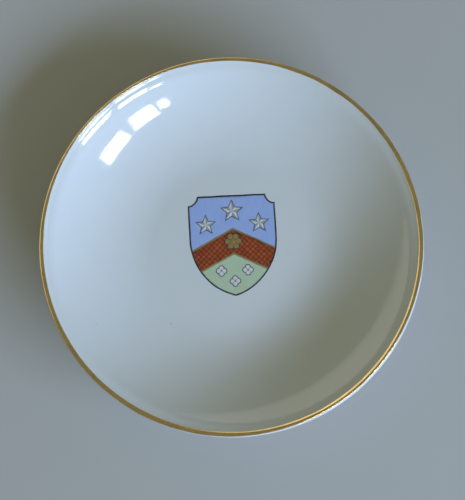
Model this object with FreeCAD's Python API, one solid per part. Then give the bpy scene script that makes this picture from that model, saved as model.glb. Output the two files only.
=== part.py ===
"""Souvenir plate: a glazed porcelain coupe plate with a gilded lip and a painted shield in its well.

The plate is one fired body. Everything else is a layer that was put on it in its own step: two coats
of glaze, a line of gold on the lip, and the ink, enamels and gold of the shield. Each layer is a
separate closed solid that meets its neighbours face to face. The films of gold, ink and enamel are
thicker here than real ones, so that each stays a solid of its own.

Millimetres, +Z up out of the plate, +Y towards the top of the shield. The origin is on the table, under
the middle of the foot ring.
"""

import FreeCAD, Part
import math
import os

# ---- plate: overall sizes ----
RIM_DIAMETER = 200.0         # over the glazed lip
WELL_DIAMETER = 86.0         # flat floor of the well
WALL_SLOPE = 41.1            # steepest slope of the inside wall, in degrees
MARGIN_SLOPE = 29.4          # slope of the flatter margin inside the lip, in degrees
LIP_SLOPE = 40.5             # inside slope where the lip starts to round over, in degrees
MARGIN_BEND_RADIUS = 20.6    # outward bend between the wall and the margin
MARGIN_LENGTH = 0.3          # straight part of the margin, along its slope
LIP_BEND_RADIUS = 10.8       # inward bend between the margin and the lip
LIP_RADIUS = 1.2             # round of the unglazed lip
WALL_THICKNESS = 3.0
BASE_THICKNESS = 4.0

# ---- plate: foot ring ----
FOOT_DIAMETER = 112.0        # outside of the ring
FOOT_WIDTH = 4.2
FOOT_HEIGHT = 4.0            # from the table to the underside of the base
FOOT_CORNER_RADIUS = 1.1
FOOT_OUTER_FILLET = 3.0
FOOT_INNER_FILLET = 2.5

# ---- glaze and rim gilding ----
GLAZE_THICKNESS = 0.25
GLAZE_STOP_HEIGHT = 1.4      # the foot is wiped bare below this height
RIM_GILT_THICKNESS = 0.2
RIM_GILT_WRAP = 8.0          # how far it wraps over the lip past its widest point, in degrees
RIM_GILT_ARCS = 9            # arcs that each face of its section is drawn in

# ---- shield: place and outline ----
SHIELD_CENTRE_X = 1.1        # the shield was laid down by hand, a little off the middle
SHIELD_CENTRE_Y = 0.8
SHIELD_WIDTH = 48.0
SHIELD_SHOULDER = 24.0       # from the top edge down to where the sides start to curve in
SHIELD_EAR_RADIUS = 5.0      # round notch in each top corner
FRAME_LINE_WIDTH = 0.8       # ink line round the shield
CHARGE_LINE_WIDTH = 0.35     # ink line round the stars, the rosette and the flowers

# Every gap below is to a star, rosette or flower itself, and its ink line lies inside the gap.

# ---- shield: stars on the blue, each taken as the circle through its points ----
STAR_POINTS = 5
STAR_WAIST = 0.46            # inner corner radius over point radius
TOP_STAR_RADIUS = 5.6
TOP_STAR_GAP = 2.6           # from the frame to the top star
SIDE_STAR_RADIUS = 5.0
SIDE_STAR_GAP = 3.6          # from the frame to a side star
SIDE_STAR_FALL = 7.2         # from the top star's centre down to a side star's centre
POINT_GAP = 3.88             # from the top star to the chevron's point

# ---- shield: chevron, with a gold line along each edge and a rosette in its point ----
CHEVRON_ANGLE = 27.0         # fall of each arm, in degrees
CHEVRON_WIDTH = 13.0         # square across an arm, with its two gold lines
CHEVRON_GILT_WIDTH = 0.9
ROSETTE_PETALS = 6
ROSETTE_PETAL_RADIUS = 1.55
ROSETTE_GAP = 1.15           # from each gold line to the rosette

# ---- shield: flowers on the green, two above one ----
LOWER_FIELD_DEPTH = 22.9     # from the chevron down to the shield's lower point
FLOWER_PETALS = 4
FLOWER_PETAL_RADIUS = 1.25
FLOWER_PETAL_REACH = 1.45    # from a flower's middle to a petal's centre
UPPER_FLOWER_SPREAD = 7.2    # from the shield's middle line to each upper flower
UPPER_FLOWER_GAP = 1.95      # from the chevron to each upper flower
LOWER_FLOWER_RISE = 8.2      # from the shield's lower point up to the lower flower's middle

# ---- shield: film thicknesses ----
ENAMEL_THICKNESS = 0.08
INK_THICKNESS = 0.06
GILT_THICKNESS = 0.08

LIP_ARC = "lip"
TOUCHING = 1e-6              # points nearer than this are one point

# ---- what follows from these: drops are from the shield's top edge ----
ALONG_SLANT = 1 / math.cos(math.radians(CHEVRON_ANGLE))   # upright height of a band 1 mm wide
TOP_STAR_DROP = FRAME_LINE_WIDTH + TOP_STAR_GAP + TOP_STAR_RADIUS
SIDE_STAR_DROP = TOP_STAR_DROP + SIDE_STAR_FALL
SIDE_STAR_SPREAD = SHIELD_WIDTH / 2 - FRAME_LINE_WIDTH - SIDE_STAR_GAP - SIDE_STAR_RADIUS
CHEVRON_TOP = TOP_STAR_DROP + TOP_STAR_RADIUS + POINT_GAP
CHEVRON_BOTTOM = CHEVRON_TOP + CHEVRON_WIDTH * ALONG_SLANT
SHIELD_HEIGHT = CHEVRON_BOTTOM + LOWER_FIELD_DEPTH
ROSETTE_REACH = CHEVRON_WIDTH / 2 - CHEVRON_GILT_WIDTH - ROSETTE_GAP - ROSETTE_PETAL_RADIUS
UPPER_FLOWER_DROP = (
    CHEVRON_BOTTOM
    + UPPER_FLOWER_SPREAD * math.tan(math.radians(CHEVRON_ANGLE))
    + (UPPER_FLOWER_GAP + FLOWER_PETAL_REACH + FLOWER_PETAL_RADIUS) * ALONG_SLANT
)
LOWER_FLOWER_DROP = SHIELD_HEIGHT - LOWER_FLOWER_RISE


def spot(x, y, z=0.0):
    return FreeCAD.Vector(x, y, z)


def around(centre, radius, angle):
    """The point at an angle in degrees round a centre, in a plane given by two coordinates."""
    turn = math.radians(angle)
    return centre[0] + radius * math.cos(turn), centre[1] + radius * math.sin(turn)


def chain(items, place):
    """A closed wire through points and arcs, with straight edges between one item and the next.

    A point is (x, y). An arc is (centre, radius, from angle, to angle). place turns two coordinates
    into a space point.
    """
    runs = []
    for item in items:
        if len(item) == 2:
            runs.append([item])
        else:
            centre, radius, begin, end = item
            runs.append([around(centre, radius, a) for a in (begin, (begin + end) / 2, end)])
    edges = []
    for run, following in zip(runs, runs[1:] + runs[:1]):
        if len(run) == 3:
            edges.append(Part.Arc(*[place(*point) for point in run]).toShape())
        leave, arrive = place(*run[-1]), place(*following[0])
        if leave.distanceToPoint(arrive) > TOUCHING:
            edges.append(Part.LineSegment(leave, arrive).toShape())
    return Part.Wire(edges)


def in_section(radius, height):
    return spot(radius, 0.0, height)


def revolve(face):
    return face.revolve(spot(0, 0), spot(0, 0, 1), 360.0)


# ---- the plate's half section ----

def section_parts():
    """Centres and radii of the body's section: the arcs in order, from the well out to the foot.

    Each arc is (name, centre, radius, from angle, to angle, side), where side is 1 if the clay is on
    the centre's side, so that a coat on it makes the radius larger, and -1 if it is on the other.
    """
    wall, margin, lip = WALL_SLOPE, MARGIN_SLOPE, LIP_SLOPE
    sine = {slope: math.sin(math.radians(slope)) for slope in (wall, margin, lip)}
    well_radius = WELL_DIAMETER / 2
    well_height = FOOT_HEIGHT + BASE_THICKNESS

    lip_radius_out = RIM_DIAMETER / 2 - GLAZE_THICKNESS - LIP_RADIUS
    lip_start = lip_radius_out - LIP_RADIUS * sine[lip]
    wall_end = (
        lip_start
        - LIP_BEND_RADIUS * (sine[lip] - sine[margin])
        - MARGIN_LENGTH * math.cos(math.radians(margin))
        - MARGIN_BEND_RADIUS * (sine[wall] - sine[margin])
    )
    wall_radius = (wall_end - well_radius) / sine[wall]
    wall_centre = (well_radius, well_height + wall_radius)

    wall_top = around(wall_centre, wall_radius, wall - 90)
    margin_centre = around(wall_top, MARGIN_BEND_RADIUS, wall - 90)
    margin_start = around(margin_centre, MARGIN_BEND_RADIUS, margin + 90)
    margin_end = around(margin_start, MARGIN_LENGTH, margin)
    bend_centre = around(margin_end, LIP_BEND_RADIUS, margin + 90)
    bend_end = around(bend_centre, LIP_BEND_RADIUS, lip - 90)
    lip_centre = around(bend_end, LIP_RADIUS, lip - 90)

    outside_radius = wall_radius + WALL_THICKNESS
    reach = math.hypot(lip_centre[0] - wall_centre[0], lip_centre[1] - wall_centre[1])
    bearing = math.atan2(lip_centre[1] - wall_centre[1], lip_centre[0] - wall_centre[0])
    outside_slope = math.degrees(bearing + math.asin((outside_radius - LIP_RADIUS) / reach))

    foot_out = FOOT_DIAMETER / 2
    foot_in = foot_out - FOOT_WIDTH
    outer_x = foot_out + FOOT_OUTER_FILLET
    drop = math.sqrt((outside_radius + FOOT_OUTER_FILLET) ** 2 - (outer_x - wall_centre[0]) ** 2)
    outer_fillet = (outer_x, wall_centre[1] - drop)
    towards_wall = math.degrees(
        math.atan2(wall_centre[1] - outer_fillet[1], wall_centre[0] - outer_fillet[0])
    )
    corner = FOOT_CORNER_RADIUS
    inner = min(FOOT_INNER_FILLET, FOOT_HEIGHT - GLAZE_STOP_HEIGHT)
    inner_fillet = (foot_in - inner, FOOT_HEIGHT - inner)

    return [
        ("wall", wall_centre, wall_radius, -90, wall - 90, -1),
        ("margin_bend", margin_centre, MARGIN_BEND_RADIUS, wall + 90, margin + 90, 1),
        ("lip_bend", bend_centre, LIP_BEND_RADIUS, margin - 90, lip - 90, -1),
        (LIP_ARC, lip_centre, LIP_RADIUS, lip + 90, outside_slope - 90, 1),
        ("outside", wall_centre, outside_radius, outside_slope - 90, towards_wall - 180, 1),
        ("foot_outer_fillet", outer_fillet, FOOT_OUTER_FILLET, towards_wall, 180, -1),
        ("foot_outer_corner", (foot_out - corner, corner), corner, 0, -90, 1),
        ("foot_inner_corner", (foot_in + corner, corner), corner, -90, -180, 1),
        ("foot_inner_fillet", inner_fillet, inner, 0, 90, -1),
    ]


def section_face(grow):
    """The half section of the body with a coat of this thickness all over it."""
    well_height = FOOT_HEIGHT + BASE_THICKNESS
    outline = [(0.0, well_height + grow)]
    for _, centre, radius, begin, end, side in section_parts():
        outline.append((centre, radius + side * grow, begin, end))
    outline.append((0.0, FOOT_HEIGHT - grow))
    return Part.Face(chain(outline, in_section))


def make_body():
    return revolve(section_face(0.0))


def make_glaze_coats():
    """The coat over the face, lip and outside, and the coat inside the foot ring."""
    bare_foot = Part.makePlane(
        RIM_DIAMETER,
        GLAZE_STOP_HEIGHT + 2 * GLAZE_THICKNESS,
        in_section(0.0, -2 * GLAZE_THICKNESS),
        spot(0, -1, 0),
        spot(1, 0, 0),
    )
    film = section_face(GLAZE_THICKNESS).cut(section_face(0.0)).cut(bare_foot)
    outer, base = sorted(film.Faces, key=lambda face: face.Area, reverse=True)
    return revolve(outer), revolve(base)


def make_rim_gilding():
    """The gold line: a film round the glazed lip, from where it rounds over to just past its edge.

    Both of its faces are drawn in short arcs that start and end side by side, so that a coarse mesh
    of so thin a film keeps its two walls apart.
    """
    lip = next(part for part in section_parts() if part[0] == LIP_ARC)
    centre, inside, begin = lip[1], lip[2] + GLAZE_THICKNESS, lip[3]
    outside = inside + RIM_GILT_THICKNESS
    step = (begin + RIM_GILT_WRAP) / RIM_GILT_ARCS
    angles = [begin - step * i for i in range(RIM_GILT_ARCS + 1)]
    steps = list(zip(angles, angles[1:]))
    outline = [(centre, inside, first, last) for first, last in steps]
    outline += [(centre, outside, last, first) for first, last in reversed(steps)]
    return revolve(Part.Face(chain(outline, in_section)))


# ---- the shield, drawn with its middle at (0, 0) and its top edge at SHIELD_HEIGHT / 2 ----

def on_well(x, y):
    """A point of the shield's drawing, on the glazed floor of the well."""
    height = FOOT_HEIGHT + BASE_THICKNESS + GLAZE_THICKNESS
    return spot(SHIELD_CENTRE_X + x, SHIELD_CENTRE_Y + y, height)


def film(outline, thickness):
    """A painted film on the well, from its outline."""
    return Part.Face(chain(outline, on_well)).extrude(spot(0, 0, thickness))


def shield_outline(inset):
    """The shield's outline, moved in by inset: straight top, notched corners, sides that meet below."""
    half, top = SHIELD_WIDTH / 2, SHIELD_HEIGHT / 2
    shoulder = top - SHIELD_SHOULDER
    fall = SHIELD_HEIGHT - SHIELD_SHOULDER
    side_radius = (half ** 2 + fall ** 2) / (2 * half)
    side_x = side_radius - half
    ear = SHIELD_EAR_RADIUS + inset
    ear_tilt = math.degrees(math.asin(inset / ear))
    tip = math.degrees(math.acos(side_x / (side_radius - inset)))
    return [
        ((-half, top), ear, ear_tilt - 90, -ear_tilt),
        ((half, top), ear, 180 + ear_tilt, 270 - ear_tilt),
        ((-side_x, shoulder), side_radius - inset, 0, -tip),
        ((side_x, shoulder), side_radius - inset, tip - 180, -180),
    ]


def chevron_outline(drop, width):
    """A chevron whose point is drop below the shield's top edge, with arms of this square width."""
    reach = SHIELD_WIDTH
    fall = reach * math.tan(math.radians(CHEVRON_ANGLE))
    depth = width * ALONG_SLANT
    point = SHIELD_HEIGHT / 2 - drop
    upper = [(-reach, point - fall), (0.0, point), (reach, point - fall)]
    return upper + [(x, y - depth) for x, y in reversed(upper)]


def side_of_chevron(drop, height):
    """Everything from a line at this height to the chevron line whose point is at drop."""
    upper = chevron_outline(drop, CHEVRON_WIDTH)[:3]
    return upper + [(SHIELD_WIDTH, height), (-SHIELD_WIDTH, height)]


def star_outline(centre, radius, line=0.0):
    """A star with one point up. line is how far its edges are moved out."""
    step = 180.0 / STAR_POINTS
    waist = radius * STAR_WAIST
    edge = math.sqrt(
        radius ** 2 + waist ** 2 - 2 * radius * waist * math.cos(math.radians(step))
    )
    edge_distance = radius * waist * math.sin(math.radians(step)) / edge
    grown = 1 + line / edge_distance
    radii = (radius * grown, waist * grown)
    return [around(centre, radii[i % 2], 90 + step * i) for i in range(2 * STAR_POINTS)]


def flower(centre, petals, petal_radius, reach, thickness, line=0.0):
    """Round petals on a round middle. line is how far its edge is moved out."""
    discs = [Part.makeCylinder(reach + line, thickness, on_well(*centre))]
    for i in range(petals):
        petal = around(centre, reach, 360.0 * i / petals)
        discs.append(Part.makeCylinder(petal_radius + line, thickness, on_well(*petal)))
    return discs[0].multiFuse(discs[1:]).removeSplitter()


def make_stars(thickness, line=0.0):
    top = SHIELD_HEIGHT / 2
    stars = {
        "top_star": ((0.0, top - TOP_STAR_DROP), TOP_STAR_RADIUS),
        "left_star": ((-SIDE_STAR_SPREAD, top - SIDE_STAR_DROP), SIDE_STAR_RADIUS),
        "right_star": ((SIDE_STAR_SPREAD, top - SIDE_STAR_DROP), SIDE_STAR_RADIUS),
    }
    return {
        name: film(star_outline(centre, radius, line), thickness)
        for name, (centre, radius) in stars.items()
    }


def make_rosette(thickness, line=0.0):
    """The rosette, in the middle of the chevron's point."""
    middle = SHIELD_HEIGHT / 2 - (CHEVRON_TOP + CHEVRON_BOTTOM) / 2
    size = (ROSETTE_PETALS, ROSETTE_PETAL_RADIUS, ROSETTE_REACH)
    return {"gilt_rosette": flower((0.0, middle), *size, thickness, line)}


def make_flowers(thickness, line=0.0):
    """The white flowers under the chevron, two above one."""
    upper = SHIELD_HEIGHT / 2 - UPPER_FLOWER_DROP
    lower = SHIELD_HEIGHT / 2 - LOWER_FLOWER_DROP
    places = {
        "left_flower": (-UPPER_FLOWER_SPREAD, upper),
        "right_flower": (UPPER_FLOWER_SPREAD, upper),
        "lower_flower": (0.0, lower),
    }
    size = (FLOWER_PETALS, FLOWER_PETAL_RADIUS, FLOWER_PETAL_REACH)
    return {name: flower(centre, *size, thickness, line) for name, centre in places.items()}


def outlined(make, thickness):
    """Charges, the ink line round each, and the places that they leave bare in the enamel below."""
    charges = make(thickness)
    edged = make(INK_THICKNESS, CHARGE_LINE_WIDTH)
    bare = make(INK_THICKNESS)
    lines = {name + "_ink": edged[name].cut(bare[name]) for name in charges}
    seats = Part.makeCompound(list(make(ENAMEL_THICKNESS, CHARGE_LINE_WIDTH).values()))
    return {**charges, **lines}, seats


def make_shield():
    """Every film of the shield, by node name."""
    inner = shield_outline(FRAME_LINE_WIDTH)
    field = film(inner, ENAMEL_THICKNESS)
    gilt_field = film(inner, GILT_THICKNESS)
    frame = film(shield_outline(0.0), INK_THICKNESS).cut(film(inner, INK_THICKNESS))

    line_depth = CHEVRON_GILT_WIDTH * ALONG_SLANT
    red_band = chevron_outline(CHEVRON_TOP + line_depth, CHEVRON_WIDTH - 2 * CHEVRON_GILT_WIDTH)
    upper_line = chevron_outline(CHEVRON_TOP, CHEVRON_GILT_WIDTH)
    lower_line = chevron_outline(CHEVRON_BOTTOM - line_depth, CHEVRON_GILT_WIDTH)
    blue = field.common(film(side_of_chevron(CHEVRON_TOP, SHIELD_HEIGHT), ENAMEL_THICKNESS))
    red = field.common(film(red_band, ENAMEL_THICKNESS))
    green = field.common(film(side_of_chevron(CHEVRON_BOTTOM, -SHIELD_HEIGHT), ENAMEL_THICKNESS))

    stars, star_seats = outlined(make_stars, ENAMEL_THICKNESS)
    rosette, rosette_seat = outlined(make_rosette, GILT_THICKNESS)
    flowers, flower_seats = outlined(make_flowers, ENAMEL_THICKNESS)
    return {
        "shield_frame_ink": frame,
        "upper_blue_enamel": blue.cut(star_seats),
        "chevron_red_enamel": red.cut(rosette_seat),
        "lower_green_enamel": green.cut(flower_seats),
        "upper_gilt_line": gilt_field.common(film(upper_line, GILT_THICKNESS)),
        "lower_gilt_line": gilt_field.common(film(lower_line, GILT_THICKNESS)),
        **stars,
        **rosette,
        **flowers,
    }


def main():
    os.makedirs("parts", exist_ok=True)
    outer_coat, base_coat = make_glaze_coats()
    nodes = {
        "porcelain_body": make_body(),
        "glaze_outer_coat": outer_coat,
        "glaze_base_coat": base_coat,
        "gilded_rim_line": make_rim_gilding(),
        **make_shield(),
    }
    for name, shape in nodes.items():
        solids = shape.removeSplitter().Solids
        piece = solids[0] if len(solids) == 1 else Part.makeCompound(solids)
        print(f"{name}: {len(solids)} solid(s), {piece.Volume:.3f} mm3, valid {piece.isValid()}")
        piece.exportStep(f"parts/{name}.step")


main()
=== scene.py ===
import math

import bmesh
import bpy
from mathutils import Matrix, Vector, noise


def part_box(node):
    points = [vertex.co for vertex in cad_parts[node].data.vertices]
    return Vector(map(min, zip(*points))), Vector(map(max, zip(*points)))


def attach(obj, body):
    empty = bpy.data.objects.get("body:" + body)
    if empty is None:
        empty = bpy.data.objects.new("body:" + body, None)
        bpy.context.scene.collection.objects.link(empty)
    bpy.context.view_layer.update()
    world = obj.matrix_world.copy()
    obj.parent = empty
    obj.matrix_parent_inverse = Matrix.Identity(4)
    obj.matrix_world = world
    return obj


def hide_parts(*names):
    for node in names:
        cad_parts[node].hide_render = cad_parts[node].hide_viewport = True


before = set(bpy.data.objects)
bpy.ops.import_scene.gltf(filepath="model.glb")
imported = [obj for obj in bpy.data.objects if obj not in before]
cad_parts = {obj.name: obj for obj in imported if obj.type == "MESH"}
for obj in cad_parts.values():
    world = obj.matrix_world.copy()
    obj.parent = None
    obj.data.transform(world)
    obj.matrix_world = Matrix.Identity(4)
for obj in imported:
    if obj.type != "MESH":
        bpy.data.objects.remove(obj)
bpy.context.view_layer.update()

MM = 0.001

# ---- sizes of the plate that its boxes don't give ----
GLAZE = 0.25 * MM
WALL_SLOPE = math.radians(41.1)
MARGIN_SLOPE = math.radians(29.4)
LIP_SLOPE = math.radians(40.5)
MARGIN_BEND = 20.6 * MM
MARGIN_LENGTH = 0.3 * MM
LIP_BEND = 10.8 * MM
LIP_ROUND = 1.2 * MM
WELL_RADIUS = 43.0 * MM
WALL_THICKNESS = 3.0 * MM
FOOT_RADIUS = 56.0 * MM
FOOT_WIDTH = 4.2 * MM
FOOT_CORNER = 1.1 * MM
FOOT_OUTER_FILLET = 3.0 * MM
FOOT_INNER_FILLET = 2.5 * MM
BASE_THICKNESS = 4.0 * MM

# ---- places that the boxes give ----
RIM_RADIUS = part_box("glaze_outer_coat")[1].x
WELL_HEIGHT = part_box("upper_blue_enamel")[0].z
GLAZE_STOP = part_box("glaze_outer_coat")[0].z
FOOT_HEIGHT = WELL_HEIGHT - GLAZE - BASE_THICKNESS

TURNS = 360                  # steps round the plate
SAME_POINT = 0.001 * MM      # points of the section nearer than this are one
DENSE = 16                   # steps of a small arc of the section
SMOOTH = 48                  # steps of a large one


# ---------------------------------------------------------------- section of the plate

def around(centre, radius, angle):
    return Vector((centre.x + radius * math.cos(angle), 0, centre.z + radius * math.sin(angle)))


def section_arcs():
    """The body's arcs from the well out to the foot.

    Each is (centre, radius, first angle, sweep, side). A coat makes the radius larger where side is 1
    and smaller where it is -1.
    """
    quarter = math.pi / 2
    sine = [math.sin(slope) for slope in (WALL_SLOPE, MARGIN_SLOPE, LIP_SLOPE)]
    lip_x = RIM_RADIUS - GLAZE - LIP_ROUND
    wall_end = lip_x - LIP_ROUND * sine[2] - LIP_BEND * (sine[2] - sine[1])
    wall_end -= MARGIN_LENGTH * math.cos(MARGIN_SLOPE) + MARGIN_BEND * (sine[0] - sine[1])
    wall_radius = (wall_end - WELL_RADIUS) / sine[0]
    wall = Vector((WELL_RADIUS, 0, FOOT_HEIGHT + BASE_THICKNESS + wall_radius))
    margin = around(wall, wall_radius + MARGIN_BEND, WALL_SLOPE - quarter)
    margin_start = around(margin, MARGIN_BEND, MARGIN_SLOPE + quarter)
    margin_end = around(margin_start, MARGIN_LENGTH, MARGIN_SLOPE)
    bend = around(margin_end, LIP_BEND, MARGIN_SLOPE + quarter)
    lip = around(bend, LIP_BEND + LIP_ROUND, LIP_SLOPE - quarter)

    outside = wall_radius + WALL_THICKNESS
    reach = lip - wall
    slope = math.atan2(reach.z, reach.x) + math.asin((outside - LIP_ROUND) / reach.length)
    fillet_x = FOOT_RADIUS + FOOT_OUTER_FILLET
    drop = math.sqrt((outside + FOOT_OUTER_FILLET) ** 2 - (fillet_x - wall.x) ** 2)
    fillet = Vector((fillet_x, 0, wall.z - drop))
    leave = math.atan2(wall.z - fillet.z, wall.x - fillet.x)
    inside = FOOT_RADIUS - FOOT_WIDTH
    outer_corner = Vector((FOOT_RADIUS - FOOT_CORNER, 0, FOOT_CORNER))
    inner_corner = Vector((inside + FOOT_CORNER, 0, FOOT_CORNER))
    inner_fillet = Vector((inside - FOOT_INNER_FILLET, 0, FOOT_HEIGHT - FOOT_INNER_FILLET))
    return {
        "wall": (wall, wall_radius, -quarter, WALL_SLOPE, -1),
        "margin": (margin, MARGIN_BEND, WALL_SLOPE + quarter, MARGIN_SLOPE - WALL_SLOPE, 1),
        "bend": (bend, LIP_BEND, MARGIN_SLOPE - quarter, LIP_SLOPE - MARGIN_SLOPE, -1),
        "lip": (lip, LIP_ROUND, LIP_SLOPE + quarter, slope - LIP_SLOPE - math.pi, 1),
        "outside": (wall, outside, slope - quarter, leave - math.pi / 2 - slope, 1),
        "fillet": (fillet, FOOT_OUTER_FILLET, leave, math.pi - leave, -1),
        "outer_corner": (outer_corner, FOOT_CORNER, 0, -quarter, 1),
        "inner_corner": (inner_corner, FOOT_CORNER, -quarter, -quarter, 1),
        "inner_fillet": (inner_fillet, FOOT_INNER_FILLET, 0, quarter, -1),
    }


ARCS = section_arcs()


def begin(bm, x, z):
    return bm.verts.new((x, 0, z))


def line_to(bm, last, x, z):
    """Draws the section on to a point, and returns the vertex there."""
    grown = bmesh.ops.extrude_vert_indiv(bm, verts=[last])["verts"][0]
    grown.co = (x, 0, z)
    return grown


def arc_to(bm, last, centre, sweep, steps):
    """Spins the section's last vertex round a centre, and returns the vertex at the arc's end."""
    spun = bmesh.ops.spin(
        bm, geom=[last], cent=centre, axis=(0, -1, 0), angle=sweep, steps=steps
    )
    return next(part for part in spun["geom_last"] if isinstance(part, bmesh.types.BMVert))


def draw(bm, last, names, coat):
    """Draws the named arcs of the section in order, under a coat of this thickness."""
    for name in names:
        centre, radius, first, sweep, side = ARCS[name]
        start = around(centre, radius + side * coat, first)
        if (last.co - start).length > SAME_POINT:
            last = line_to(bm, last, start.x, start.z)
        steps = SMOOTH if radius > MARGIN_BEND else DENSE
        last = arc_to(bm, last, centre, sweep, steps)
    return last


def turn_full(bm):
    """Turns the section once round the plate's axis, and closes the seam and the poles."""
    bmesh.ops.spin(
        bm,
        geom=bm.verts[:] + bm.edges[:],
        cent=(0, 0, 0),
        axis=(0, 0, 1),
        angle=2 * math.pi,
        steps=TURNS,
        use_merge=True,
    )
    bmesh.ops.remove_doubles(bm, verts=bm.verts, dist=0.002 * MM)
    bmesh.ops.dissolve_degenerate(bm, edges=bm.edges, dist=0.001 * MM)
    bmesh.ops.recalc_face_normals(bm, faces=bm.faces)


# ---------------------------------------------------------------- pieces

def piece_from(bm, name, node, material, smooth=True):
    """Makes the piece that stands for a CAD node, riding on the plate's one body."""
    mesh = bpy.data.meshes.new(name)
    bm.to_mesh(mesh)
    bm.free()
    piece = bpy.data.objects.new(name, mesh)
    bpy.context.scene.collection.objects.link(piece)
    mesh.materials.append(material)
    if smooth:
        mesh.shade_smooth()
    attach(piece, "root")
    if node:
        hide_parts(node)
    return piece


def make_body(material):
    """The fired body: its face, lip, outside, foot ring and base in one closed turning."""
    bm = bmesh.new()
    first = begin(bm, 0, FOOT_HEIGHT + BASE_THICKNESS)
    last = draw(bm, first, list(ARCS), 0)
    line_to(bm, last, 0, FOOT_HEIGHT)
    turn_full(bm)
    piece_from(bm, "bare_porcelain", "porcelain_body", material)


def make_outer_glaze(material):
    """The glaze over the face, lip and outside, with a rolled edge where the foot was wiped."""
    bm = bmesh.new()
    roll = GLAZE / 2
    coated = ["wall", "margin", "bend", "lip", "outside", "fillet"]
    first = begin(bm, 0, WELL_HEIGHT)
    last = draw(bm, first, coated, GLAZE)
    last = line_to(bm, last, FOOT_RADIUS + GLAZE, GLAZE_STOP + roll)
    last = arc_to(bm, last, (FOOT_RADIUS + roll, 0, GLAZE_STOP + roll), -math.pi, DENSE // 2)
    for name in reversed(coated):
        centre, radius, begin_angle, sweep, _ = ARCS[name]
        start = around(centre, radius, begin_angle + sweep)
        if (last.co - start).length > SAME_POINT:
            last = line_to(bm, last, start.x, start.z)
        last = arc_to(bm, last, centre, -sweep, DENSE)
    line_to(bm, last, 0, FOOT_HEIGHT + BASE_THICKNESS)
    turn_full(bm)
    waver_glaze_edge(bm)
    piece_from(bm, "glaze_over_plate", "glaze_outer_coat", material)


def make_base_glaze(material):
    """The glaze inside the foot ring."""
    bm = bmesh.new()
    roll = GLAZE / 2
    inside = FOOT_RADIUS - FOOT_WIDTH
    centre, radius, _, sweep, _ = ARCS["inner_fillet"]
    first = begin(bm, 0, FOOT_HEIGHT - GLAZE)
    last = line_to(bm, first, centre.x, FOOT_HEIGHT - GLAZE)
    last = arc_to(bm, last, centre, -sweep, DENSE)
    last = line_to(bm, last, inside - GLAZE, GLAZE_STOP + roll)
    last = arc_to(bm, last, (inside - roll, 0, GLAZE_STOP + roll), math.pi, DENSE // 2)
    last = line_to(bm, last, inside, centre.z)
    last = arc_to(bm, last, centre, sweep, DENSE)
    line_to(bm, last, 0, FOOT_HEIGHT)
    turn_full(bm)
    waver_glaze_edge(bm)
    piece_from(bm, "glaze_under_base", "glaze_base_coat", material)


def waver_glaze_edge(bm):
    """Lets the wiped edge of the glaze wander up and down a little round the foot."""
    wander = 0.45 * MM
    near = 0.6 * MM
    for vert in bm.verts:
        if vert.co.z < GLAZE_STOP + near:
            way = Vector((vert.co.x, vert.co.y, 0)) / (14 * MM)
            vert.co.z += wander * max(noise.noise(way) + 0.35, 0)


def lip_point(travel, lift):
    """A point over the glazed lip. travel is how far round it from where the lip's round begins."""
    centre, radius, first, _, _ = ARCS["lip"]
    if travel >= 0:
        radius += GLAZE
        return around(centre, radius + lift, first - travel / radius)
    bend_centre, bend_radius, bend_first, bend_sweep, _ = ARCS["bend"]
    bend_radius -= GLAZE
    back = travel / bend_radius
    return around(bend_centre, bend_radius - lift, bend_first + bend_sweep + back)


GOLD_LEAN = math.radians(-48)        # where the line runs inwards
GOLD_THIN = math.radians(132)        # where it is thinnest
GOLD_FILM = 0.05 * MM
GOLD_ACROSS = 14                     # steps across the line
GOLD_BEGIN = -0.15 * MM              # its two edges, round the lip, where it runs true
GOLD_END = 2.95 * MM


def gold_edges(angle):
    """Where the gold begins and ends, round the lip, at this angle round the plate.

    The line was brushed on a turning plate. It wraps over the lip almost everywhere, and on one side
    it runs a little inwards and leaves the lip's outer half white. It is thinnest across from there.
    """
    lean = max(math.cos(angle - GOLD_LEAN), 0) ** 1.5
    way = Vector((math.cos(angle), math.sin(angle), 0))
    wide_shake = 9
    fine_shake = 60
    shake = [noise.noise(way * wide_shake + Vector((0, 0, layer))) for layer in (0, 5)]
    fine = [noise.noise(way * fine_shake + Vector((0, 0, layer))) for layer in (1, 6)]
    thin = max(math.cos(angle - GOLD_THIN), 0) ** 6
    begin_at = GOLD_BEGIN - 0.72 * MM * lean + 0.16 * MM * shake[0] + 0.06 * MM * fine[0]
    begin_at += 0.8 * MM * thin
    end_at = GOLD_END - 1.57 * MM * lean + 0.22 * MM * shake[1] + 0.08 * MM * fine[1]
    return begin_at, end_at


GOLD_SUNK = -0.4 * GOLD_FILM         # how far the film's underside lies in the glaze


def gold_lift(share):
    """How far the film's top stands over the glaze at this share of its width."""
    edge = min(share, 1 - share)
    rise = min(edge * 7, 1)
    ridge = math.exp(-((edge - 0.1) / 0.05) ** 2)
    return GOLD_FILM * (0.6 * rise + 0.35 * ridge)


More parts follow.
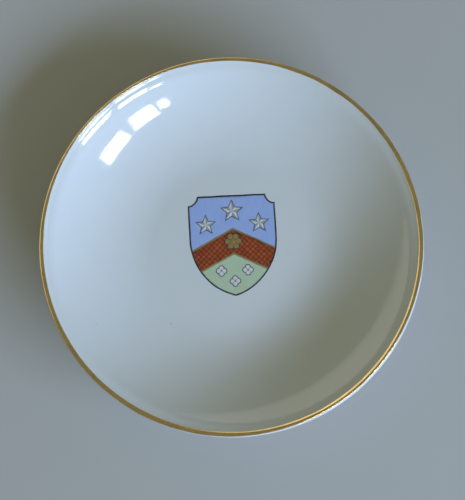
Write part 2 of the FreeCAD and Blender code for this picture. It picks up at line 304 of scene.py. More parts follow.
def make_gold_line(material):
    """The gold line: a thin film over the lip, thickest near its edges where the brush left it."""
    bm = bmesh.new()
    across = bm.verts.layers.float.new("across")
    side = bm.verts.layers.float.new("side")
    last = None
    first = None
    for top in (1, 0):
        for i in range(GOLD_ACROSS + 1):
            share = i / GOLD_ACROSS if top else 1 - i / GOLD_ACROSS
            vert = bm.verts.new((RIM_RADIUS, 0, i * MM + top))
            vert[across] = share
            vert[side] = top
            if last:
                bm.edges.new((last, vert))
            first = first or vert
            last = vert
    bm.edges.new((last, first))
    bmesh.ops.spin(
        bm,
        geom=bm.verts[:] + bm.edges[:],
        cent=(0, 0, 0),
        axis=(0, 0, 1),
        angle=2 * math.pi,
        steps=2 * TURNS,
        use_merge=True,
    )
    for vert in bm.verts:
        angle = math.atan2(vert.co.y, vert.co.x)
        begin_at, end_at = gold_edges(angle)
        share = vert[across]
        travel = begin_at + (end_at - begin_at) * share
        spot = lip_point(travel, gold_lift(share) if vert[side] else GOLD_SUNK)
        vert.co = (spot.x * math.cos(angle), spot.x * math.sin(angle), spot.z)
    bmesh.ops.recalc_face_normals(bm, faces=bm.faces)
    piece_from(bm, "gold_lip_line", "gilded_rim_line", material)


# ---------------------------------------------------------------- painting of the shield

HAND_SWAY = 0.22 * MM        # how far the painter's hand wanders
HAND_LENGTH = 7.0 * MM       # over what distance
EDGE_SWAY = 0.07 * MM        # how rough each painted edge is by itself
EDGE_LENGTH = 1.3 * MM
OUTLINE_STEP = 0.7 * MM      # the longest straight piece of a painted outline
EDGE_HEIGHT = 0.55           # height of a film's edge, over the height of its middle
PAINT_SUNK = 0.02 * MM       # how far a film's underside lies in the glaze


def paint_by_hand(bm, seed):
    """Moves a drawn piece as an unsteady hand would, all pieces together and each a little alone."""
    for vert in bm.verts:
        flat = Vector((vert.co.x, vert.co.y, 0))
        shared = noise.noise_vector(flat / HAND_LENGTH)
        alone = noise.noise_vector(flat / EDGE_LENGTH + Vector((0, 0, 3.7 * seed)))
        vert.co.x += HAND_SWAY * shared.x + EDGE_SWAY * alone.x
        vert.co.y += HAND_SWAY * shared.y + EDGE_SWAY * alone.y


def divide_outline(bm, longest):
    """Divides the long edges along the outline of a film, and leaves the edges inside it alone."""
    by_cuts = {}
    for edge in bm.edges:
        cuts = int(edge.calc_length() / longest)
        if cuts and edge.calc_face_angle(0) > 1:
            by_cuts.setdefault(cuts, []).append(edge)
    for cuts, edges in by_cuts.items():
        bmesh.ops.subdivide_edges(bm, edges=edges, cuts=cuts)


def painted_film(node, height, edge_width, seed):
    """A film with the outline of a CAD node, a soft rounded edge and an unsteady outline.

    The vertex value "pool" is 1 along the film's edge and 0 away from it.
    """
    bm = bmesh.new()
    bm.from_mesh(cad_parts[node].data)
    pool = bm.verts.layers.float.new("pool")
    bmesh.ops.remove_doubles(bm, verts=bm.verts, dist=0.002 * MM)
    divide_outline(bm, OUTLINE_STEP)
    top_height = max(vert.co.z for vert in bm.verts)
    for vert in bm.verts:
        vert[pool] = 1.0
        if vert.co.z > top_height - 0.01 * MM:
            vert.co.z = WELL_HEIGHT + EDGE_HEIGHT * height
        else:
            vert.co.z = WELL_HEIGHT - PAINT_SUNK
    bm.normal_update()
    top = [face for face in bm.faces if face.normal.z > 0.9]
    inner = bmesh.ops.inset_region(
        bm, faces=top, thickness=edge_width, use_even_offset=True, use_boundary=True
    )
    ring = set(inner["faces"])
    for face in top:
        for vert in face.verts:
            vert.co.z = WELL_HEIGHT + height
            vert[pool] = 0.0
    paint_by_hand(bm, seed)
    for face in bm.faces:
        face.smooth = face in ring
    return bm


def make_painting(paints):
    """The enamels, gold lines and ink of the shield that keep their CAD outlines.

    Each film is (node, height, width of its rounded edge, paint), in millimetres.
    """
    films = [
        ("upper_blue_enamel", 0.06, 0.5, "blue_enamel"),
        ("chevron_red_enamel", 0.06, 0.45, "red_enamel"),
        ("lower_green_enamel", 0.06, 0.5, "green_enamel"),
        ("upper_gilt_line", 0.085, 0.2, "painted_gold"),
        ("lower_gilt_line", 0.085, 0.2, "painted_gold"),
        ("gilt_rosette", 0.085, 0.3, "painted_gold"),
        ("left_flower", 0.075, 0.3, "white_enamel"),
        ("right_flower", 0.075, 0.3, "white_enamel"),
        ("lower_flower", 0.075, 0.3, "white_enamel"),
        ("shield_frame_ink", 0.09, 0.22, "black_ink"),
        ("top_star_ink", 0.09, 0.1, "black_ink"),
        ("left_star_ink", 0.09, 0.1, "black_ink"),
        ("right_star_ink", 0.09, 0.1, "black_ink"),
        ("gilt_rosette_ink", 0.095, 0.1, "black_ink"),
        ("left_flower_ink", 0.09, 0.1, "black_ink"),
        ("right_flower_ink", 0.09, 0.1, "black_ink"),
        ("lower_flower_ink", 0.09, 0.1, "black_ink"),
    ]
    for seed, (node, height, edge, slot) in enumerate(films):
        bm = painted_film(node, height * MM, edge * MM, seed)
        piece_from(bm, node + "_film", node, paints[slot], smooth=False)


STAR_ARMS = 5
STAR_WAIST = 0.46            # inner corner radius over point radius
STAR_HEIGHT = 0.07 * MM
STAR_RIDGE = 0.16 * MM       # how much higher its middle is


def make_star(node, material, seed):
    """A star with a ridge along each arm, one side of every arm washed grey."""
    low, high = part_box(node)
    radius = (high.y - low.y) / (1 + math.cos(math.pi / STAR_ARMS))
    middle = Vector(((low.x + high.x) / 2, high.y - radius, WELL_HEIGHT))
    bm = bmesh.new()
    shade = bm.faces.layers.float.new("shade")
    ring = bmesh.ops.create_circle(bm, cap_ends=True, segments=2 * STAR_ARMS, radius=radius)
    outline = ring["verts"]
    waists = [v for v in outline if not on_a_point(v)]
    bmesh.ops.scale(bm, verts=waists, vec=(STAR_WAIST, STAR_WAIST, 1))
    grown = bmesh.ops.extrude_face_region(bm, geom=bm.faces[:])["geom"]
    lifted = [part for part in grown if isinstance(part, bmesh.types.BMVert)]
    bmesh.ops.translate(bm, verts=lifted, vec=(0, 0, STAR_HEIGHT))
    bm.normal_update()
    upper = [face for face in bm.faces if face.normal.z > 0.9]
    facets = bmesh.ops.poke(bm, faces=upper)
    for vert in facets["verts"]:
        vert.co.z += STAR_RIDGE
    for face in facets["faces"]:
        face[shade] = facing_away(face)
    long_edges = [edge for edge in bm.edges if edge.calc_length() > 0.5 * MM]
    bmesh.ops.subdivide_edges(bm, edges=long_edges, cuts=5, use_grid_fill=True)
    bmesh.ops.translate(bm, verts=bm.verts, vec=middle - Vector((0, 0, 0.01 * MM)))
    bmesh.ops.recalc_face_normals(bm, faces=bm.faces)
    paint_by_hand(bm, seed)
    piece_from(bm, node + "_film", node, material, smooth=False)


def on_a_point(vert):
    """Whether a vertex of the star's circle is under one of its arms."""
    step = 2 * math.pi / STAR_ARMS
    turn = (math.atan2(vert.co.y, vert.co.x) - math.pi / 2) / step
    return abs(turn - round(turn)) < 0.25


def facing_away(face):
    """1 for the side of each arm that is painted grey, 0 for the other."""
    step = 2 * math.pi / STAR_ARMS
    middle = face.calc_center_median()
    turn = (math.atan2(middle.y, middle.x) - math.pi / 2) / step
    return 1.0 if turn - round(turn) < 0 else 0.0


def make_dome(name, middle, radius, rise, material, seed):
    """A small raised drop of paint."""
    bm = bmesh.new()
    bmesh.ops.create_uvsphere(bm, u_segments=24, v_segments=12, radius=radius)
    bmesh.ops.scale(bm, verts=bm.verts, vec=(1, 1, rise / radius))
    under = bmesh.ops.bisect_plane(
        bm,
        geom=bm.verts[:] + bm.edges[:] + bm.faces[:],
        plane_co=(0, 0, -PAINT_SUNK),
        plane_no=(0, 0, -1),
        clear_outer=True,
    )
    rim = [part for part in under["geom_cut"] if isinstance(part, bmesh.types.BMEdge)]
    bmesh.ops.contextual_create(bm, geom=rim)
    bmesh.ops.translate(bm, verts=bm.verts, vec=middle)
    paint_by_hand(bm, seed)
    bmesh.ops.recalc_face_normals(bm, faces=bm.faces)
    piece_from(bm, name, None, material)


def middle_of(node, height):
    low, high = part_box(node)
    return Vector(((low.x + high.x) / 2, (low.y + high.y) / 2, WELL_HEIGHT + height))


def make_stroke(name, strokes, width, height, material, seed):
    """Short tapering pen strokes, each from one point to another, joined in one piece."""
    bm = bmesh.new()
    for start, finish in strokes:
        along = finish - start
        pen = bmesh.ops.create_circle(bm, cap_ends=True, segments=20, radius=0.5)
        verts = pen["verts"]
        bmesh.ops.scale(bm, verts=verts, vec=(along.length, width, 1))
        faces = list({face for vert in verts for face in vert.link_faces})
        grown = bmesh.ops.extrude_face_region(bm, geom=faces)["geom"]
        lifted = [part for part in grown if isinstance(part, bmesh.types.BMVert)]
        bmesh.ops.translate(bm, verts=lifted, vec=(0, 0, height))
        whole = verts + lifted
        turn = Matrix.Rotation(math.atan2(along.y, along.x), 4, "Z")
        bmesh.ops.rotate(bm, verts=whole, matrix=turn)
        bmesh.ops.translate(bm, verts=whole, vec=(start + finish) / 2)
    paint_by_hand(bm, seed)
    bmesh.ops.recalc_face_normals(bm, faces=bm.faces)
    piece_from(bm, name, None, material, smooth=False)


def spokes(middle, count, inner, outer, first):
    """Start and end points of strokes that run out from a middle."""
    strokes = []
    for i in range(count):
        turn = first + 2 * math.pi * i / count
        way = Vector((math.cos(turn), math.sin(turn), 0))
        strokes.append((middle + way * inner, middle + way * outer))
    return strokes


def make_charge_details(paints):
    """The rosette's boss and petal lines, and the eye and petal lines of each flower."""
    centre = middle_of("gilt_rosette", 0.075 * MM)
    make_dome("rosette_boss", centre, 1.15 * MM, 0.16 * MM, paints["painted_gold"], 31)
    lines = spokes(centre, 6, 1.5 * MM, 3.1 * MM, math.pi / 6)
    make_stroke("rosette_petal_lines", lines, 0.26 * MM, 0.04 * MM, paints["black_ink"], 32)
    ring = spokes(centre, 18, 1.22 * MM, 1.5 * MM, 0)
    make_stroke("rosette_boss_dots", ring, 0.3 * MM, 0.03 * MM, paints["black_ink"], 33)
    for index, side in enumerate(("left", "right", "lower")):
        centre = middle_of(side + "_flower", 0.06 * MM)
        gold = paints["painted_gold"]
        make_dome(side + "_flower_eye", centre, 0.62 * MM, 0.1 * MM, gold, 40 + index)
        lines = spokes(centre, 4, 0.75 * MM, 1.75 * MM, math.pi / 4)
        ink = paints["black_ink"]
        make_stroke(side + "_petal_lines", lines, 0.16 * MM, 0.03 * MM, ink, 50 + index)


# ---------------------------------------------------------------- shader helpers

def place(tree, kind, inputs=None, **settings):
    """Adds a shader node. An input is given a value, or linked when it is given a socket."""
    made = tree.nodes.new("ShaderNode" + kind)
    for name, value in settings.items():
        setattr(made, name, value)
    for name, value in (inputs or {}).items():
        if isinstance(value, bpy.types.NodeSocket):
            tree.links.new(value, made.inputs[name])
        else:
            made.inputs[name].default_value = value
    return made


def combine(tree, operation, first, second, clamp=False):
    made = place(tree, "Math", {0: first, 1: second}, operation=operation, use_clamp=clamp)
    return made.outputs[0]


def spread(tree, value, low, high, to_low=0.0, to_high=1.0):
    """Maps a value from one range to another, and stops at the ends."""
    inputs = {0: value, 1: low, 2: high, 3: to_low, 4: to_high}
    return place(tree, "MapRange", inputs).outputs[0]


FACTOR, FIRST_COLOUR, SECOND_COLOUR, MIXED_COLOUR = 0, 6, 7, 2


def mix(tree, share, first, second):
    """Mixes two colours."""
    inputs = {FACTOR: share, FIRST_COLOUR: first, SECOND_COLOUR: second}
    return place(tree, "Mix", inputs, data_type="RGBA").outputs[MIXED_COLOUR]


def new_group(name, inputs, outputs):
    """A node group with named inputs, each with its default, and named outputs."""
    tree = bpy.data.node_groups.new(name, "ShaderNodeTree")
    for label, default in inputs.items():
        kind = "NodeSocketVector" if default is None else "NodeSocketFloat"
        socket = tree.interface.new_socket(name=label, in_out="INPUT", socket_type=kind)
        if default is not None:
            socket.default_value = default
    for label in outputs:
        kind = "NodeSocketVector" if label == "Vector" else "NodeSocketFloat"
        tree.interface.new_socket(name=label, in_out="OUTPUT", socket_type=kind)
    into = tree.nodes.new("NodeGroupInput").outputs
    out = tree.nodes.new("NodeGroupOutput").inputs
    return tree, into, out


def use(tree, group, inputs):
    """Places a node group in a material, and returns its outputs."""
    made = tree.nodes.new("ShaderNodeGroup")
    made.node_tree = group
    for name, value in inputs.items():
        if isinstance(value, bpy.types.NodeSocket):
            tree.links.new(value, made.inputs[name])
        else:
            made.inputs[name].default_value = value
    return made.outputs


def millimetres(tree, angle=0.0, stretch=(1, 1, 1)):
    """Object coordinates in millimetres, turned about the plate's axis and stretched."""
    where = place(tree, "TexCoord").outputs["Object"]
    turned = place(tree, "Mapping", {"Vector": where, "Rotation": (0, 0, angle)})
    scale = [1000 / share for share in stretch]
    sized = place(tree, "Mapping", {"Vector": turned.outputs[0], "Scale": scale})
    return sized.outputs[0]


def noise_of(tree, vector, scale, detail=2.0, roughness=0.5):
    inputs = {"Vector": vector, "Scale": scale, "Detail": detail, "Roughness": roughness}
    return place(tree, "TexNoise", inputs).outputs[0]


# ---------------------------------------------------------------- shared effects

def group_uneven_surface():
    """Slow waves and fine orange peel, as on fired glaze. Lengths are in millimetres."""
    tree, into, out = new_group(
        "uneven_surface",
        {"Vector": None, "Wave Length": 20.0, "Peel Length": 1.2, "Peel Share": 0.1},
        ["Shade", "Height"],
    )
    wave_scale = combine(tree, "DIVIDE", 1.0, into["Wave Length"])
    peel_scale = combine(tree, "DIVIDE", 1.0, into["Peel Length"])
    wave = noise_of(tree, into["Vector"], wave_scale, 1.0)
    peel = noise_of(tree, into["Vector"], peel_scale, 2.0)
    shade = noise_of(tree, into["Vector"], wave_scale, 4.0, 0.6)
    fine = combine(tree, "MULTIPLY", peel, into["Peel Share"])
    tree.links.new(combine(tree, "ADD", wave, fine), out["Height"])
    tree.links.new(shade, out["Shade"])
    return tree


def group_brush_strokes():
    """Streaks along the vector's first direction, with fine bristle lines in them."""
    tree, into, out = new_group("brush_strokes", {"Vector": None, "Bristle": 3.0}, ["Density", "Height"])
    broad = noise_of(tree, into["Vector"], 1.0, 3.0, 0.55)
    bristle = noise_of(tree, into["Vector"], into["Bristle"], 2.0, 0.6)
    wide_share = combine(tree, "MULTIPLY", broad, 0.65)
    fine_share = combine(tree, "MULTIPLY", bristle, 0.35)
    both = combine(tree, "ADD", wide_share, fine_share)
    tree.links.new(spread(tree, both, 0.3, 0.7), out["Density"])
    tree.links.new(both, out["Height"])
    return tree


def group_specks():
    """Small scattered dots. Spacing and Size are in millimetres."""
    tree, into, out = new_group("specks", {"Vector": None, "Spacing": 8.0, "Size": 0.3}, ["Mask"])
    scale = combine(tree, "DIVIDE", 1.0, into["Spacing"])
    cells = place(tree, "TexVoronoi", {"Vector": into["Vector"], "Scale": scale})
    reach = combine(tree, "DIVIDE", into["Size"], into["Spacing"])
    chance = place(tree, "SeparateColor", {0: cells.outputs["Color"]}).outputs[0]
    size = combine(tree, "MULTIPLY", reach, chance)
    dot = combine(tree, "SUBTRACT", size, cells.outputs["Distance"])
    tree.links.new(spread(tree, dot, 0.0, 0.01), out["Mask"])
    return tree


def group_wear():
    """Patches that have rubbed thin. Amount is the share of the surface they take."""
    tree, into, out = new_group("wear", {"Vector": None, "Length": 3.0, "Amount": 0.1}, ["Mask"])
    scale = combine(tree, "DIVIDE", 1.0, into["Length"])
    rub = noise_of(tree, into["Vector"], scale, 6.0, 0.65)
    limit = combine(tree, "SUBTRACT", 0.72, combine(tree, "MULTIPLY", into["Amount"], 0.45))
    above = combine(tree, "SUBTRACT", rub, limit)
    tree.links.new(spread(tree, above, 0.0, 0.06), out["Mask"])
    return tree


def group_round_the_plate():
    """Coordinates that run round the plate's axis: slow along a ring, quick across it."""
    tree, into, out = new_group(
        "round_the_plate", {"Vector": None, "Along": 0.1, "Across": 2.0}, ["Vector"]
    )
    parts = place(tree, "SeparateXYZ", {0: into["Vector"]}).outputs
    flat = place(tree, "CombineXYZ", {0: parts[0], 1: parts[1]}).outputs[0]
    radius = place(tree, "VectorMath", {0: flat}, operation="LENGTH").outputs["Value"]
    way = place(tree, "VectorMath", {0: flat}, operation="NORMALIZE").outputs[0]
    along = combine(tree, "MULTIPLY", into["Along"], 100.0)
    slow = place(tree, "VectorMath", {0: way, "Scale": along}, operation="SCALE").outputs[0]
    ways = place(tree, "SeparateXYZ", {0: slow}).outputs
    level = combine(tree, "MULTIPLY", combine(tree, "ADD", radius, parts[2]), into["Across"])
    joined = place(tree, "CombineXYZ", {0: ways[0], 1: ways[1], 2: level}).outputs[0]
    tree.links.new(joined, out["Vector"])
    return tree


def group_lozenges():
    """A diaper of lozenges: thin lines both ways, and a chance value for each lozenge."""
    tree, into, out = new_group(
        "lozenges", {"Vector": None, "Pitch": 2.4, "Line": 0.3}, ["Line", "Cell"]
    )
    parts = place(tree, "SeparateXYZ", {0: into["Vector"]}).outputs
    lines = []
    cells = []
    for operation in ("ADD", "SUBTRACT"):
        across = combine(tree, operation, parts[0], parts[1])
        steps = combine(tree, "DIVIDE", across, into["Pitch"])
        cells.append(combine(tree, "FLOOR", steps, 0.0))
        within = combine(tree, "FRACT", steps, 0.0)
        off_middle = combine(tree, "SUBTRACT", within, 0.5)
        lines.append(combine(tree, "ABSOLUTE", off_middle, 0.0))
    nearest = combine(tree, "MAXIMUM", lines[0], lines[1])
    half = combine(tree, "DIVIDE", into["Line"], into["Pitch"])
    edge = combine(tree, "ADD", combine(tree, "SUBTRACT", nearest, 0.5), half)
    tree.links.new(spread(tree, edge, 0.0, 0.05), out["Line"])
    index = place(tree, "CombineXYZ", {0: cells[0], 1: cells[1]}).outputs[0]
    chance = place(tree, "TexWhiteNoise", {"Vector": index}).outputs["Value"]
    tree.links.new(chance, out["Cell"])
    return tree


# ---------------------------------------------------------------- materials

def new_material(name, **settings):
    """A material with its Principled shader, whose constant sockets are given by name."""
    material = bpy.data.materials.new(name)
    material.use_nodes = True
    tree = material.node_tree
    shader = tree.nodes["Principled BSDF"]
    for label, value in settings.items():
        shader.inputs[label.replace("_", " ")].default_value = value
    return material, tree, shader


def feed(tree, shader, **sockets):
    for label, socket in sockets.items():
        tree.links.new(socket, shader.inputs[label.replace("_", " ")])


def bump(tree, height, distance, strength=1.0):
    """A bump from a height, where a height of 1 stands this many millimetres up."""
    inputs = {"Height": height, "Distance": distance * MM, "Strength": strength}
    return place(tree, "Bump", inputs).outputs[0]


def clear_glaze(effects):
    """Cool white porcelain under a clear, very smooth glaze, with the marks of use."""
    material, tree, shader = new_material("clear_glaze", IOR=1.52)
    where = millimetres(tree)
    waves = {"Vector": where, "Wave Length": 16.0, "Peel Length": 1.6, "Peel Share": 0.035}
    uneven = use(tree, effects["uneven"], waves)
    specks = use(tree, effects["specks"], {"Vector": where, "Spacing": 17.0, "Size": 0.42})
    pits = use(tree, effects["specks"], {"Vector": where, "Spacing": 9.0, "Size": 0.22})
    rings = use(tree, effects["round"], {"Vector": where, "Along": 0.05, "Across": 0.22})
    ring = noise_of(tree, rings["Vector"], 1.0, 2.0)

    swirl = place(tree, "TexNoise", {"Vector": where, "Scale": 0.018, "Detail": 1.0}).outputs["Color"]
    bent = place(tree, "VectorMath", {0: swirl, "Scale": 260.0}, operation="SCALE").outputs[0]
    drift = place(tree, "VectorMath", {0: where, 1: bent}, operation="ADD").outputs[0]
    lines = {"Vector": drift, "Scale": 0.035, "Distortion": 1.5, "Detail": 1.0}
    hair = place(tree, "TexWave", lines).outputs["Fac"]
    thin = spread(tree, hair, 0.9985, 0.9998)
    sparse = spread(tree, noise_of(tree, where, 0.09, 2.0), 0.5, 0.62)
    scratch = combine(tree, "MULTIPLY", thin, sparse)

    white = mix(tree, uneven["Shade"], (0.80, 0.826, 0.842, 1), (0.845, 0.858, 0.862, 1))
    speckled = mix(tree, specks["Mask"], white, (0.30, 0.26, 0.21, 1))
    marked = mix(tree, combine(tree, "MULTIPLY", scratch, 0.12), speckled, (0.95, 0.95, 0.94, 1))
    rough = spread(tree, uneven["Shade"], 0.2, 0.8, 0.045, 0.085)
    rough = combine(tree, "ADD", rough, combine(tree, "MULTIPLY", scratch, 0.2))
    height = combine(tree, "ADD", uneven["Height"], combine(tree, "MULTIPLY", ring, 0.5))
    height = combine(tree, "SUBTRACT", height, combine(tree, "MULTIPLY", pits["Mask"], 0.3))
    height = combine(tree, "SUBTRACT", height, combine(tree, "MULTIPLY", scratch, 0.02))
    feed(tree, shader, Base_Color=marked, Roughness=rough, Normal=bump(tree, height, 0.05))
    return material


def bare_porcelain(effects):
    """Unglazed fired clay, seen on the foot: fine grain, turning marks and grey rubbing."""
    material, tree, shader = new_material("bare_porcelain", IOR=1.45)
    where = millimetres(tree)
    grain = noise_of(tree, where, 5.0, 5.0, 0.7)
    rings = use(tree, effects["round"], {"Vector": where, "Along": 0.04, "Across": 3.0})
    turned = noise_of(tree, rings["Vector"], 1.0, 3.0)
    rubbed = use(tree, effects["wear"], {"Vector": where, "Length": 5.0, "Amount": 0.45})
    level = place(tree, "SeparateXYZ", {0: where}).outputs[2]
    standing = spread(tree, level, 0.0, 0.25, 1.0, 0.0)
    clay = mix(tree, grain, (0.70, 0.67, 0.61, 1), (0.82, 0.80, 0.76, 1))
    dirt = combine(tree, "MULTIPLY", combine(tree, "MULTIPLY", rubbed["Mask"], standing), 0.7)
    stained = mix(tree, dirt, clay, (0.36, 0.33, 0.29, 1))
    rough = spread(tree, grain, 0.3, 0.7, 0.55, 0.8)
    height = combine(tree, "ADD", combine(tree, "MULTIPLY", grain, 0.5), turned)
    feed(tree, shader, Base_Color=stained, Roughness=rough, Normal=bump(tree, height, 0.06))
    return material


def rim_gold(effects):
    """The brushed gold of the lip: streaks along the line, thin places and fine rubbing."""
    material, tree, shader = new_material("rim_gold")
    where = millimetres(tree)
    rings = use(tree, effects["round"], {"Vector": where, "Along": 0.16, "Across": 2.4})
    strokes = use(tree, effects["brush"], {"Vector": rings["Vector"], "Bristle": 2.5})
    worn = use(tree, effects["wear"], {"Vector": where, "Length": 2.2, "Amount": 0.12})
    patches = noise_of(tree, where, 0.08, 3.0)
    rich = mix(tree, strokes["Density"], (0.74, 0.50, 0.20, 1), (0.95, 0.74, 0.42, 1))
    dulled = mix(tree, spread(tree, patches, 0.4, 0.75), rich, (0.66, 0.47, 0.22, 1))
    colour = mix(tree, worn["Mask"], dulled, (0.80, 0.74, 0.62, 1))
    metal = spread(tree, worn["Mask"], 0.0, 1.0, 1.0, 0.25)
    brushed = spread(tree, strokes["Density"], 0.0, 1.0, 0.3, 0.16)
    rough = combine(tree, "ADD", brushed, combine(tree, "MULTIPLY", worn["Mask"], 0.15))
    relief = bump(tree, strokes["Height"], 0.02)
    feed(tree, shader, Base_Color=colour, Metallic=metal, Roughness=rough, Normal=relief)
    return material


def painted_gold(effects):
    """Thin gold laid over the enamel with a small brush, brownish where it is thin."""
    material, tree, shader = new_material("painted_gold")
    along = millimetres(tree, 0.3, (1.6, 0.5, 1))
    strokes = use(tree, effects["brush"], {"Vector": along, "Bristle": 3.0})
    pool = place(tree, "Attribute", attribute_name="pool").outputs["Fac"]
    gold = mix(tree, strokes["Density"], (0.36, 0.25, 0.10, 1), (0.62, 0.45, 0.20, 1))
    edged = mix(tree, combine(tree, "MULTIPLY", pool, 0.5), gold, (0.22, 0.15, 0.07, 1))
    metal = spread(tree, strokes["Density"], 0.0, 1.0, 0.45, 0.8)
    rough = spread(tree, strokes["Density"], 0.0, 1.0, 0.5, 0.3)
    relief = bump(tree, strokes["Height"], 0.03)
    feed(tree, shader, Base_Color=edged, Metallic=metal, Roughness=rough, Normal=relief)
    return material


def enamel(name, effects, thin, full, edge, angle, stretch, edge_share=0.6):
    """Fired enamel put on with a brush: strokes from thin to full colour, and a pooled edge."""
    material, tree, shader = new_material(name, IOR=1.5)
    along = millimetres(tree, angle, stretch)
    strokes = use(tree, effects["brush"], {"Vector": along, "Bristle": 2.6})
    cloud = noise_of(tree, millimetres(tree), 0.12, 3.0)
    pool = place(tree, "Attribute", attribute_name="pool").outputs["Fac"]
    stroke_share = combine(tree, "MULTIPLY", strokes["Density"], 0.6)
    cloud_share = combine(tree, "MULTIPLY", spread(tree, cloud, 0.3, 0.7), 0.4)
    wash = combine(tree, "ADD", stroke_share, cloud_share)
    colour = mix(tree, wash, thin, full)
    pooled = mix(tree, combine(tree, "MULTIPLY", pool, edge_share), colour, edge)
    rough = spread(tree, strokes["Density"], 0.0, 1.0, 0.26, 0.38)
    feed(tree, shader, Base_Color=pooled, Roughness=rough, Normal=bump(tree, strokes["Height"], 0.03))
    return material, tree, shader, pooled


def red_enamel(effects):
    """The chevron's red: brick-brown strokes in a diaper of darker lozenge lines."""
    material, tree, shader, wash = enamel(
        "red_enamel", effects, (0.55, 0.10, 0.03, 1), (0.30, 0.05, 0.018, 1),
        (0.12, 0.02, 0.012, 1), 0.0, (2.6, 0.5, 1),
    )
    sway = place(tree, "TexNoise", {"Vector": millimetres(tree), "Scale": 0.5}).outputs["Color"]
    nudge = place(tree, "VectorMath", {0: sway, "Scale": 0.7}, operation="SCALE").outputs[0]
    where = place(tree, "VectorMath", {0: millimetres(tree), 1: nudge}, operation="ADD").outputs[0]
    diaper = use(tree, effects["lozenges"], {"Vector": where, "Pitch": 3.0, "Line": 0.34})
    bright = combine(tree, "MULTIPLY", spread(tree, diaper["Cell"], 0.25, 1.0), 0.6)
    cells = mix(tree, bright, wash, (0.62, 0.13, 0.04, 1))
    lined = mix(tree, combine(tree, "MULTIPLY", diaper["Line"], 0.85), cells, (0.055, 0.012, 0.01, 1))
    feed(tree, shader, Base_Color=lined)
    return material


def white_enamel(effects):
    """White enamel with grey washes on the shaded side of each facet."""
    material, tree, shader, wash = enamel(
        "white_enamel", effects, (0.78, 0.79, 0.80, 1), (0.86, 0.87, 0.88, 1),
        (0.50, 0.52, 0.56, 1), 0.6, (1.4, 0.5, 1), 0.7,
    )
    side = place(tree, "Attribute", attribute_name="shade").outputs["Fac"]
    along = millimetres(tree, 1.1, (1.0, 0.25, 1))
    strokes = use(tree, effects["brush"], {"Vector": along, "Bristle": 3.0})
    grey = spread(tree, strokes["Density"], 0.0, 1.0, 0.45, 0.95)
    share = combine(tree, "MULTIPLY", side, grey)
    feed(tree, shader, Base_Color=mix(tree, share, wash, (0.20, 0.20, 0.25, 1)))
    return material


def black_ink(effects):
    """Fired line ink, brownish black, greyer where the pen ran dry."""
    material, tree, shader = new_material("black_ink", IOR=1.5)
    where = millimetres(tree)
    dry = use(tree, effects["wear"], {"Vector": where, "Length": 1.1, "Amount": 0.4})
    body = noise_of(tree, where, 0.9, 3.0)
    ink = mix(tree, body, (0.018, 0.014, 0.02, 1), (0.05, 0.036, 0.036, 1))
    faded = mix(tree, combine(tree, "MULTIPLY", dry["Mask"], 0.5), ink, (0.16, 0.14, 0.15, 1))
    rough = spread(tree, body, 0.3, 0.7, 0.25, 0.42)
    feed(tree, shader, Base_Color=faded, Roughness=rough, Normal=bump(tree, body, 0.02))
    return material


def make_materials():
    effects = {
        "uneven": group_uneven_surface(),
        "brush": group_brush_strokes(),
        "specks": group_specks(),
        "wear": group_wear(),
        "round": group_round_the_plate(),
        "lozenges": group_lozenges(),
    }
    blue = enamel(
        "blue_enamel", effects, (0.46, 0.59, 0.96, 1), (0.38, 0.51, 0.92, 1),
        (0.24, 0.33, 0.66, 1), 0.15, (1.5, 4.5, 1),
    )[0]
    green = enamel(
        "green_enamel", effects, (0.64, 0.76, 0.55, 1), (0.55, 0.68, 0.47, 1),
        (0.36, 0.48, 0.33, 1), 0.0, (3.5, 0.9, 1),
    )[0]
    return {
        "bare_porcelain": bare_porcelain(effects),
        "clear_glaze": clear_glaze(effects),
        "rim_gold": rim_gold(effects),
        "painted_gold": painted_gold(effects),
        "blue_enamel": blue,
        "red_enamel": red_enamel(effects),
        "green_enamel": green,
        "white_enamel": white_enamel(effects),
        "black_ink": black_ink(effects),
    }


# ---------------------------------------------------------------- floor, light and camera

VIEW_TURN = math.radians(-2.9)       # the picture's right, round the plate from +X
RIM_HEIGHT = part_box("gilded_rim_line")[1].z
CAMERA_DISTANCE = 0.4
CAMERA_ELEVATION = math.radians(81.5)
CAMERA_LENS = 55.6
AIM_RIGHT = 0.54 * MM                # where the camera looks, from the middle of the rim
AIM_DOWN = 5.2 * MM
WALL_SPOT_RADIUS = 84 * MM           # the spot of the wall that mirrors the panels
WALL_SPOT_HEIGHT = 22 * MM


def make_floor():
    """A plain pale floor under the plate."""
    bm = bmesh.new()
    bmesh.ops.create_circle(bm, cap_ends=True, segments=96, radius=4.0)
    mesh = bpy.data.meshes.new("floor")
    bm.to_mesh(mesh)
    bm.free()
    floor = bpy.data.objects.new("floor", mesh)
    bpy.context.scene.collection.objects.link(floor)
    material, tree, shader = new_material("pale_floor", Roughness=0.7)
    shade = noise_of(tree, place(tree, "TexCoord").outputs["Object"], 6.0, 3.0)
    feed(tree, shader, Base_Color=mix(tree, shade, (0.56, 0.55, 0.53, 1), (0.60, 0.59, 0.57, 1)))
    mesh.materials.append(material)


def direction(azimuth, elevation):
    """A direction from the plate, in degrees, with azimuth 0 at the picture's right."""
    turn = math.radians(azimuth) + VIEW_TURN
    rise = math.radians(elevation)
    flat = math.cos(rise)
    return Vector((flat * math.cos(turn), flat * math.sin(turn), math.sin(rise)))


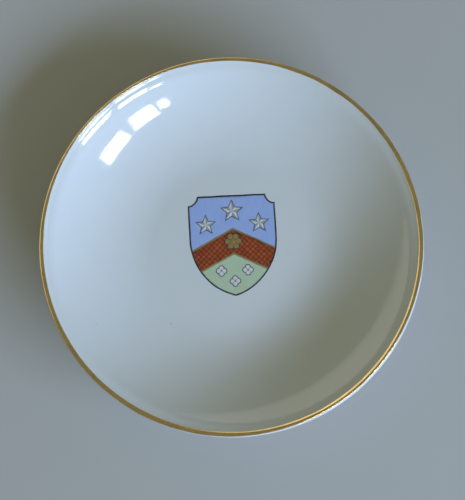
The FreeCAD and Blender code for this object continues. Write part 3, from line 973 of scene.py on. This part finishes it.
def make_panel(name, azimuth, elevation, wide, tall, radiance, colour, mirrored):
    """A light panel far off. wide and tall are the angles that it fills, in degrees.

    A mirrored panel shows in the glaze and gives no other light, and any other panel only lights.
    It is aimed at the part of the wall that faces it, where the glaze mirrors it.
    """
    distance = 3.0
    wall_spot = direction(azimuth + 180, 0) * WALL_SPOT_RADIUS
    wall_spot.z = WALL_SPOT_HEIGHT
    light = bpy.data.lights.new(name, "AREA")
    light.shape = "RECTANGLE"
    light.size = 2 * distance * math.tan(math.radians(wide) / 2)
    light.size_y = 2 * distance * math.tan(math.radians(tall) / 2)
    light.energy = radiance * math.pi * light.size * light.size_y
    light.color = colour
    panel = bpy.data.objects.new(name, light)
    bpy.context.scene.collection.objects.link(panel)
    towards = direction(azimuth, elevation)
    panel.location = wall_spot + towards * distance
    panel.rotation_euler = towards.to_track_quat("Z", "Y").to_euler()
    panel.visible_glossy = mirrored
    panel.visible_diffuse = not mirrored


def make_light():
    """A window of three panes, the light it gives, the lit wall across from it, and a dim warm room."""
    cool = (0.86, 0.95, 1.0)
    make_panel("near_pane", -30.8, 42.4, 10.5, 10.4, 22.0, cool, True)
    make_panel("middle_pane", -48.9, 41.1, 8.9, 10.1, 22.0, cool, True)
    make_panel("far_pane", -59.4, 39.9, 3.3, 6.8, 22.0, cool, True)
    warm = (1.0, 0.95, 0.85)
    make_panel("far_wall", 139.0, 16.0, 120.0, 24.0, 0.7, warm, True)
    make_panel("far_wall_middle", 139.0, 17.5, 104.0, 15.0, 0.4, warm, True)
    make_panel("window_light", -41.0, 24.0, 50.0, 13.0, 17.0, (0.51, 0.69, 1.0), False)
    world = bpy.data.worlds.new("room")
    world.use_nodes = True
    back = world.node_tree.nodes["Background"]
    back.inputs["Color"].default_value = (0.97, 1.0, 0.70, 1)
    back.inputs["Strength"].default_value = 0.22
    bpy.context.scene.world = world


def make_camera():
    """Looks down on the plate, a little from the side that the shield's point is on."""
    lens = bpy.data.cameras.new("camera")
    lens.lens = CAMERA_LENS
    camera = bpy.data.objects.new("camera", lens)
    bpy.context.scene.collection.objects.link(camera)
    right = Vector((math.cos(VIEW_TURN), math.sin(VIEW_TURN), 0))
    away = Vector((-right.y, right.x, 0))
    backwards = Vector((0, 0, math.sin(CAMERA_ELEVATION))) - away * math.cos(CAMERA_ELEVATION)
    up = backwards.cross(right)
    aim = Vector((0, 0, RIM_HEIGHT)) + right * AIM_RIGHT - up * AIM_DOWN
    stand = Matrix.Translation(aim + backwards * CAMERA_DISTANCE)
    turn = Matrix((right, up, backwards)).transposed().to_4x4()
    camera.matrix_world = stand @ turn
    bpy.context.scene.camera = camera
    bpy.context.scene.view_settings.view_transform = "Standard"


def main():
    materials = make_materials()
    make_body(materials["bare_porcelain"])
    make_outer_glaze(materials["clear_glaze"])
    make_base_glaze(materials["clear_glaze"])
    make_gold_line(materials["rim_gold"])
    make_painting(materials)
    for seed, node in enumerate(("top_star", "left_star", "right_star")):
        make_star(node, materials["white_enamel"], 20 + seed)
    make_charge_details(materials)
    make_floor()
    make_light()
    make_camera()


main()
